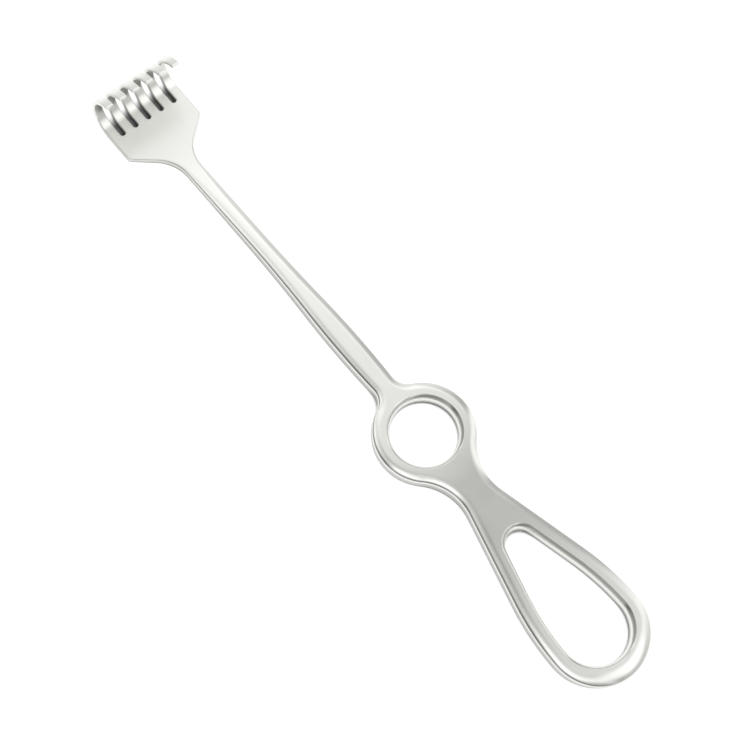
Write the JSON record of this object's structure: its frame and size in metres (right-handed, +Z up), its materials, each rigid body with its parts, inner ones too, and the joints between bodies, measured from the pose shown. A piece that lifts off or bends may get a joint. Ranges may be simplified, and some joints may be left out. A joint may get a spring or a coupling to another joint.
{
  "type": "handheld surgical rake retractor",
  "caption": "One-piece steel hand retractor: teardrop grip loop, finger ring, tapering shaft and a flared head with six blunt hooked prongs.",
  "frame": {"origin": "centre of the finger ring's hole, half-way up the 4.8 mm thick handle", "axes": "+X along the shaft to the prongs, +Y across the rake, +Z up out of the ring, the way the prongs point"},
  "size_m": [0.2189, 0.0298, 0.0176],
  "materials": {
    "steel": "satin"
  },
  "bodies": {
    "root": {"rake_retractor": "steel"}
  },
  "joints": []
}
